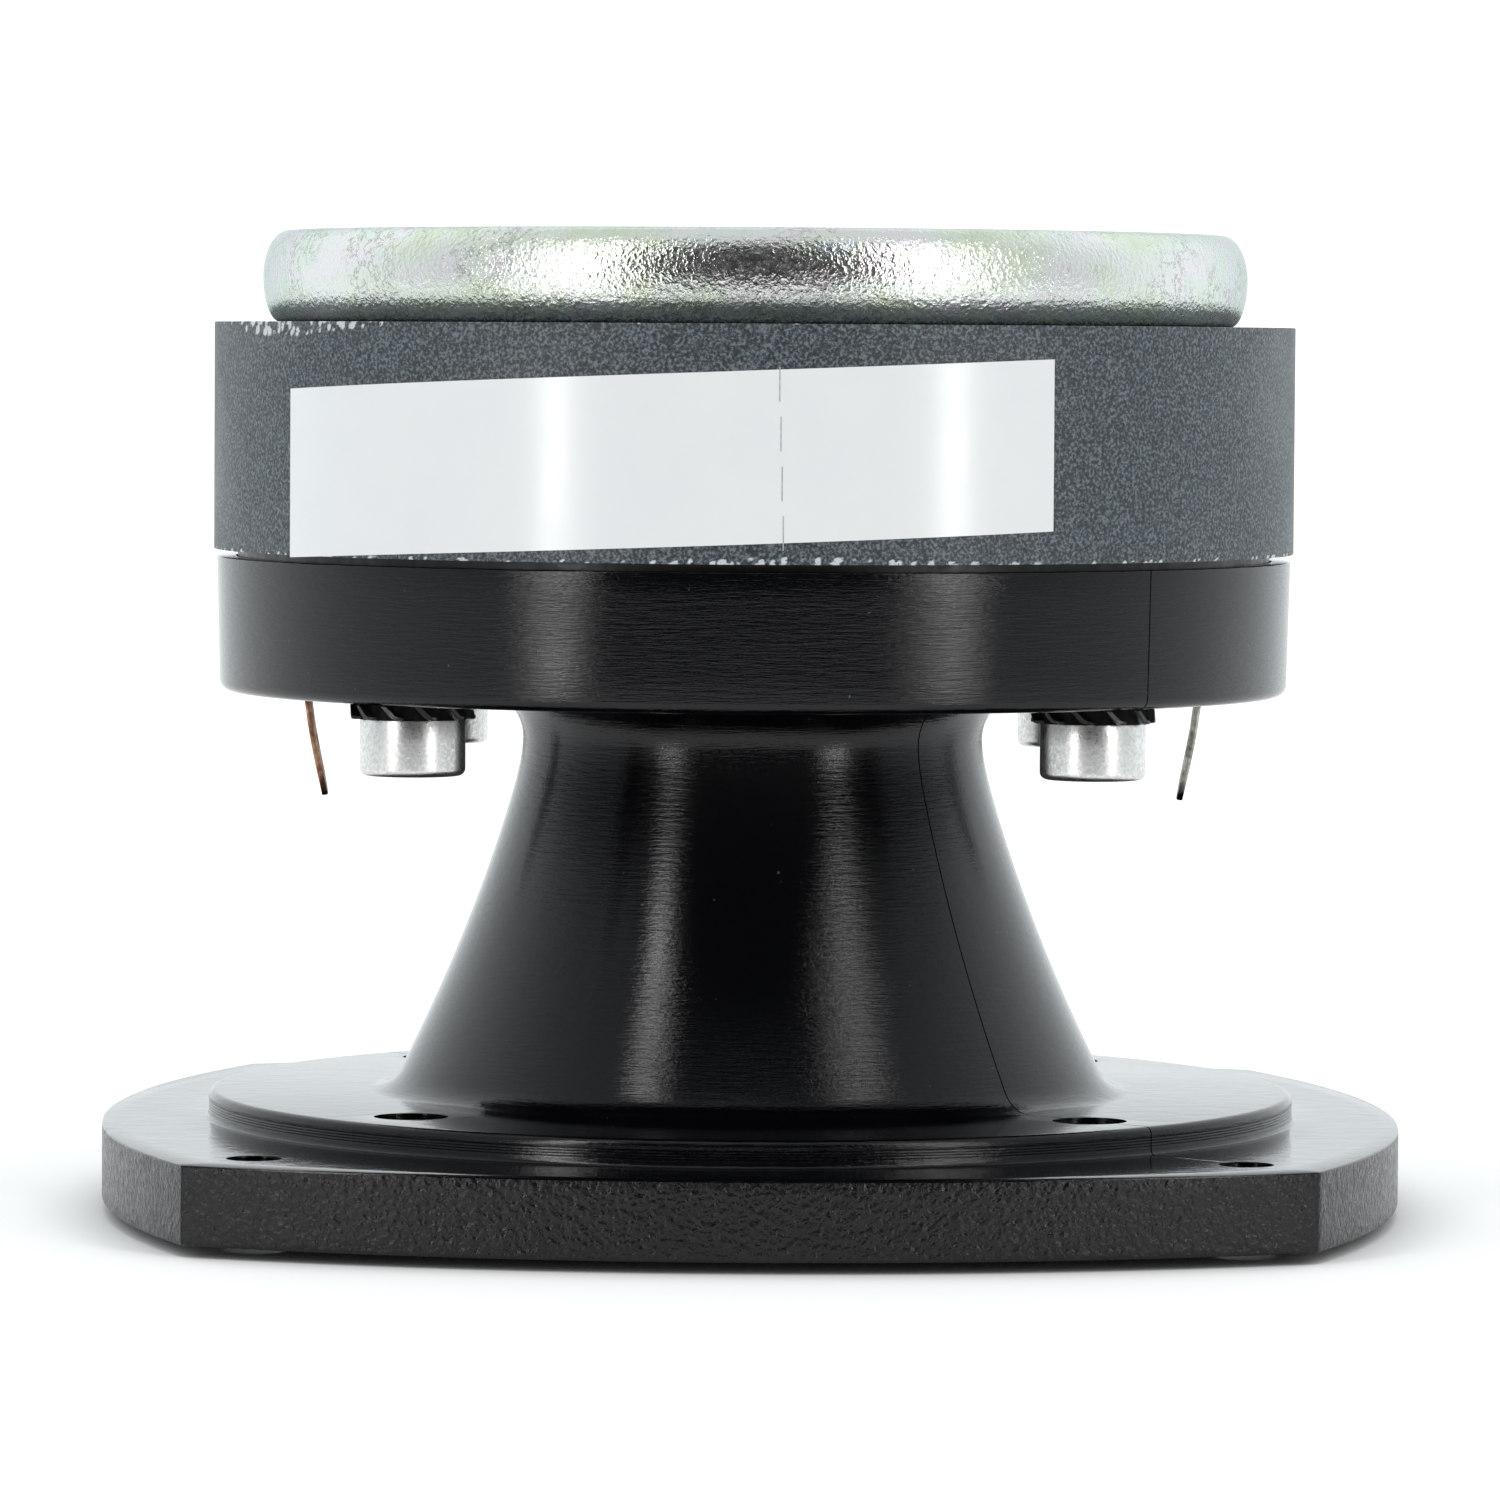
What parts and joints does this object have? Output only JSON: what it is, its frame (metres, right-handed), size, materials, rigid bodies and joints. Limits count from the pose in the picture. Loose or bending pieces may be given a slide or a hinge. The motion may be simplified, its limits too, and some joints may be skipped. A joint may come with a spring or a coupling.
{
  "type": "compression driver",
  "caption": "Horn-loaded compression driver: ferrite motor with a zinc-plated back plate on a one-piece black horn body with neck, flare and square bulged mounting flange.",
  "frame": {"origin": "centre of the horn's mouth face, which is the centre of the bounding box's bottom", "axes": "+Z along the horn and motor axis from the mouth to the back plate; X and Y across the flange's sides, terminals on the X axis, label at the front (-Y)"},
  "size_m": [0.108, 0.108, 0.081],
  "materials": {
    "zinc_plate": "bright zinc plating with a faint yellow-green and pink tint",
    "ferrite": "sintered ferrite, matt, finely speckled",
    "black_steel": "black oxide",
    "horn_plastic": "glossy black moulding, sand texture on the flange edge",
    "plug_plastic": "glossy black moulding",
    "dome_foil": "thin metal foil",
    "surround_film": "amber film",
    "former_film": "amber film",
    "coil_wire": "lacquered winding",
    "ring_plastic": "black moulding",
    "lead_copper": "flat ribbon",
    "pin_steel": "ground dowel",
    "gasket_fibre": "black fibre",
    "felt": "grey felt",
    "tab_copper": "browned copper",
    "tab_tin": "dull tinned",
    "label_paper": "white, slightly glossy, blank",
    "screw_steel": "satin",
    "washer_black": "black oxide"
  },
  "bodies": {
    "frame": {"back_plate": "zinc_plate", "magnet_ring": "ferrite", "front_plate": "black_steel", "horn_body": "horn_plastic", "phase_plug": "plug_plastic", "surround": "surround_film", "diaphragm_ring": "ring_plastic", "coil_lead_positive": "lead_copper", "coil_lead_negative": "lead_copper", "locating_pin_1": "pin_steel", "locating_pin_2": "pin_steel", "horn_gasket": "gasket_fibre", "damping_pad": "felt", "terminal_tab_positive": "tab_copper", "terminal_tab_negative": "tab_tin", "label": "label_paper", "cap_screw_1": "screw_steel", "lock_washer_1": "washer_black", "cap_screw_2": "screw_steel", "lock_washer_2": "washer_black", "cap_screw_3": "screw_steel", "lock_washer_3": "washer_black", "cap_screw_4": "screw_steel", "lock_washer_4": "washer_black"},
    "diaphragm": {"dome": "dome_foil", "voice_coil_former": "former_film", "voice_coil": "coil_wire"}
  },
  "joints": [
    {"name": "diaphragm_travel", "type": "slide", "parent": "frame", "child": "diaphragm", "axis": [0, 0, 1], "range_m": [-0.0003, 0.0003], "stiffness_N_per_m": 2000, "deforming": ["surround"]}
  ]
}
